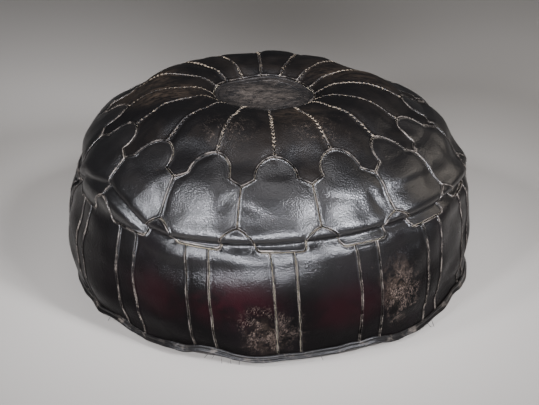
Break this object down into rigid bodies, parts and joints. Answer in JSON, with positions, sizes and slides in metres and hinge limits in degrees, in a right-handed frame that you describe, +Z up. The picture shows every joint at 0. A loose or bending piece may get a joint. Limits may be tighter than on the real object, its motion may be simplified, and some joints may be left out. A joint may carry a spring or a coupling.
{
  "type": "leather pouf",
  "caption": "Round stuffed floor pouf in dark sewn leather: medallion, petals, scalloped crown panels, striped side, turned hem and a zip in its base.",
  "frame": {"origin": "centre of the flat base, on the floor", "axes": "+Z up through the medallion; +X along the zip in the base, towards its closed end"},
  "size_m": [0.6098, 0.6098, 0.298],
  "materials": {
    "embossed_leather": "embossed black goat leather, worn",
    "top_leather": "black goat leather, dull and worn",
    "crown_leather": "black goat leather, semi-gloss",
    "side_leather": "black goat leather with an oxblood tone, semi-gloss",
    "edge_leather": "turned and stitched leather edge",
    "base_leather": "plain black leather, dull",
    "seam_thread": "waxed cotton thread, worn",
    "cotton_lining": "unbleached cotton calico",
    "wadding": "cotton wadding",
    "zip_tape": "woven black polyester tape",
    "zip_brass": "aged brass"
  },
  "bodies": {
    "pouf": {"medallion": "embossed_leather", "petal_01": "top_leather", "petal_02": "top_leather", "petal_03": "top_leather", "petal_04": "top_leather", "petal_05": "top_leather", "petal_06": "top_leather", "petal_07": "top_leather", "petal_08": "top_leather", "petal_09": "top_leather", "petal_10": "top_leather", "petal_11": "top_leather", "petal_12": "top_leather", "petal_13": "top_leather", "petal_14": "top_leather", "petal_15": "top_leather", "petal_16": "top_leather", "crown_panel_01": "crown_leather", "crown_panel_02": "crown_leather", "crown_panel_03": "crown_leather", "crown_panel_04": "crown_leather", "crown_panel_05": "crown_leather", "crown_panel_06": "crown_leather", "crown_panel_07": "crown_leather", "crown_panel_08": "crown_leather", "crown_panel_09": "crown_leather", "crown_panel_10": "crown_leather", "crown_panel_11": "crown_leather", "crown_panel_12": "crown_leather", "crown_panel_13": "crown_leather", "crown_panel_14": "crown_leather", "crown_panel_15": "crown_leather", "crown_panel_16": "crown_leather", "side_panel_01": "side_leather", "side_panel_02": "side_leather", "side_panel_03": "side_leather", "side_panel_04": "side_leather", "side_panel_05": "side_leather", "side_panel_06": "side_leather", "side_panel_07": "side_leather", "side_panel_08": "side_leather", "side_panel_09": "side_leather", "side_panel_10": "side_leather", "side_panel_11": "side_leather", "side_panel_12": "side_leather", "side_panel_13": "side_leather", "side_panel_14": "side_leather", "side_panel_15": "side_leather", "side_panel_16": "side_leather", "side_strips": "side_leather", "hem_welt": "edge_leather", "base_half_front": "base_leather", "base_half_back": "base_leather", "liner": "cotton_lining", "fill": "wadding", "zip_tapes": "zip_tape", "zip_teeth": "zip_brass", "zip_stops": "zip_brass"},
    "zip_slider": {"zip_slider": "zip_brass"},
    "zip_pull": {"zip_pull": "zip_brass"}
  },
  "joints": [
    {"name": "zip_slide", "type": "slide", "parent": "pouf", "child": "zip_slider", "axis": [-1, 0, 0], "range_m": [0, 0.345], "deforming": ["zip_teeth"]},
    {"name": "pull_swing", "type": "hinge", "parent": "zip_slider", "child": "zip_pull", "pos_m": [0.176, 0, 0.00815], "axis": [0, -1, 0], "range_deg": [0, 170]}
  ]
}
